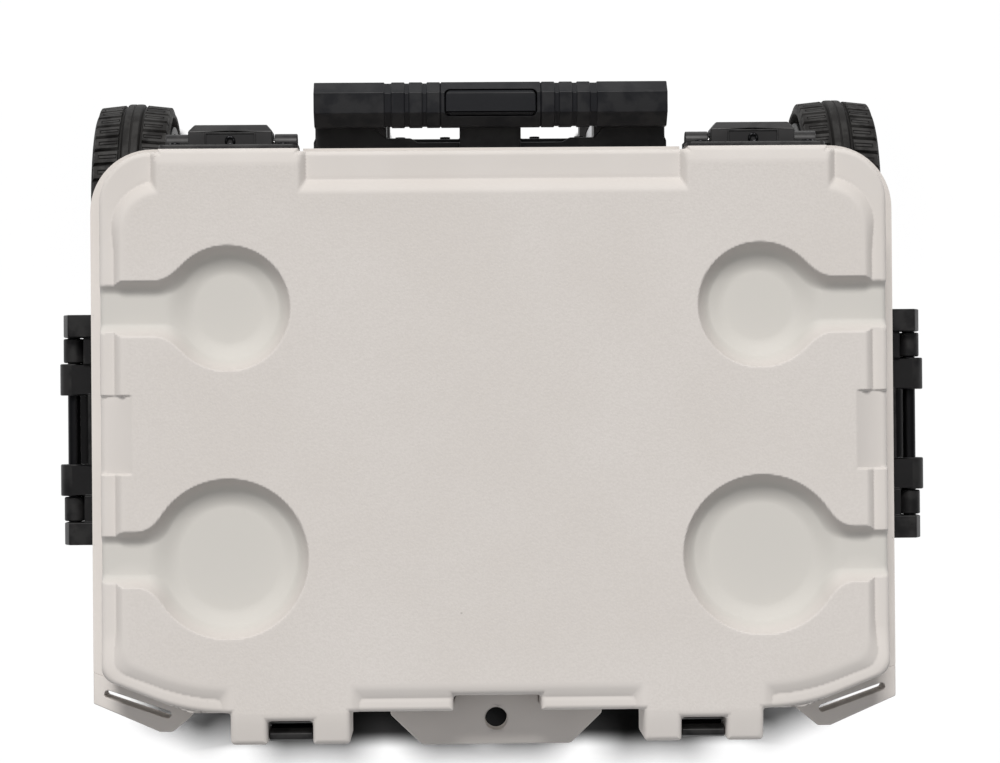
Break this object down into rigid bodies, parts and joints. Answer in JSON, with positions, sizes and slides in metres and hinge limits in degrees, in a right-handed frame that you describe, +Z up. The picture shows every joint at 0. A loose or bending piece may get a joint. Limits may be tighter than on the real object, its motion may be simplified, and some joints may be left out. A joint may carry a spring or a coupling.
{
  "type": "wheeled hard cooler",
  "caption": "Insulated hard cooler with a hinged cup-holder lid, rear wheels, telescoping tow handle, swinging side handles and front latches.",
  "frame": {"origin": "centre of the box at its bottom, on the ground under the cooler", "axes": "+X to the right side handle seen from the front, +Y to the rear with the wheels, hinges and tow handle, +Z up"},
  "size_m": [0.756, 0.588, 0.51],
  "materials": {
    "cream_shell": "matte",
    "white_liner": "satin",
    "foam": "matte",
    "black_trim": "matte",
    "grip_black": "satin",
    "tube_metal": "satin",
    "black_steel": "satin",
    "steel": "satin",
    "seal_rubber": "matte",
    "tyre": "matte",
    "bush_nylon": "satin"
  },
  "bodies": {
    "tub": {"tub_shell": "cream_shell", "tub_liner": "white_liner", "tub_foam": "foam", "corner_lug_left": "cream_shell", "corner_lug_right": "cream_shell", "tub_lock_tab": "cream_shell", "hinge_base_left": "black_trim", "hinge_base_right": "black_trim", "hinge_pins": "steel", "hinge_screws": "black_steel", "latch_base_left": "black_trim", "latch_base_right": "black_trim", "latch_pins": "steel", "latch_screws": "black_steel", "tow_dock": "black_trim", "tow_foot": "black_trim", "tow_screws": "black_steel", "outer_tube_left": "tube_metal", "outer_tube_right": "tube_metal", "side_base_left": "black_trim", "side_base_right": "black_trim", "side_pins": "black_steel", "side_screws": "black_steel", "axle": "steel", "front_feet": "seal_rubber", "drain_socket": "black_trim"},
    "lid": {"lid_top": "cream_shell", "lid_foam": "foam", "lid_liner": "white_liner", "lid_gasket": "seal_rubber", "lid_lock_tab": "cream_shell", "hinge_leaf_left": "black_trim", "hinge_leaf_right": "black_trim", "leaf_screws": "black_steel", "latch_keepers": "steel"},
    "latch_left": {"latch_lever_left": "black_trim"},
    "latch_right": {"latch_lever_right": "black_trim"},
    "tow_mid": {"mid_tube_left": "tube_metal", "mid_tube_right": "tube_metal"},
    "tow_grip": {"inner_tube_left": "tube_metal", "inner_tube_right": "tube_metal", "grip_cover": "grip_black", "grip_body": "grip_black"},
    "tow_release": {"tow_button": "grip_black", "release_rod_left": "steel", "release_rod_right": "steel"},
    "wheel_left": {"tyre_left": "tyre", "wheel_hub_left": "black_trim", "wheel_bush_left": "bush_nylon", "hub_cap_left": "black_trim"},
    "wheel_right": {"tyre_right": "tyre", "wheel_hub_right": "black_trim", "wheel_bush_right": "bush_nylon", "hub_cap_right": "black_trim"},
    "bail_left": {"bail_left": "black_trim"},
    "bail_right": {"bail_right": "black_trim"},
    "drain": {"drain_plug": "black_trim", "drain_washer": "seal_rubber"}
  },
  "joints": [
    {"name": "lid_hinge", "type": "hinge", "parent": "tub", "child": "lid", "pos_m": [0, 0.2255, 0.438], "axis": [1, 0, 0], "range_deg": [-100, 0]},
    {"name": "latch_left_swing", "type": "hinge", "parent": "tub", "child": "latch_left", "pos_m": [-0.174, -0.266, 0.338], "axis": [1, 0, 0], "range_deg": [0, 80]},
    {"name": "latch_right_swing", "type": "hinge", "parent": "tub", "child": "latch_right", "pos_m": [0.174, -0.266, 0.338], "axis": [1, 0, 0], "range_deg": [0, 80]},
    {"name": "tow_mid_slide", "type": "slide", "parent": "tub", "child": "tow_mid", "axis": [0, 0, 1], "range_m": [0, 0.25]},
    {"name": "tow_grip_slide", "type": "slide", "parent": "tow_mid", "child": "tow_grip", "axis": [0, 0, 1], "range_m": [0, 0.25]},
    {"name": "tow_button_press", "type": "slide", "parent": "tow_grip", "child": "tow_release", "axis": [0, 0, -1], "range_m": [0, 0.004], "stiffness_N_per_m": 1500, "springref_m": -0.003},
    {"name": "wheel_left_spin", "type": "hinge", "parent": "tub", "child": "wheel_left", "pos_m": [-0.335, 0.189, 0.105], "axis": [1, 0, 0], "continuous": true},
    {"name": "wheel_right_spin", "type": "hinge", "parent": "tub", "child": "wheel_right", "pos_m": [0.335, 0.189, 0.105], "axis": [1, 0, 0], "continuous": true},
    {"name": "bail_left_swing", "type": "hinge", "parent": "tub", "child": "bail_left", "pos_m": [-0.366, -0.021, 0.403], "axis": [0, 1, 0], "range_deg": [0, 90]},
    {"name": "bail_right_swing", "type": "hinge", "parent": "tub", "child": "bail_right", "pos_m": [0.366, -0.021, 0.403], "axis": [0, -1, 0], "range_deg": [0, 90]},
    {"name": "drain_plug_turn", "type": "hinge", "parent": "tub", "child": "drain", "pos_m": [0.33, -0.14, 0.092], "axis": [1, 0, 0], "range_deg": [0, 630]}
  ]
}
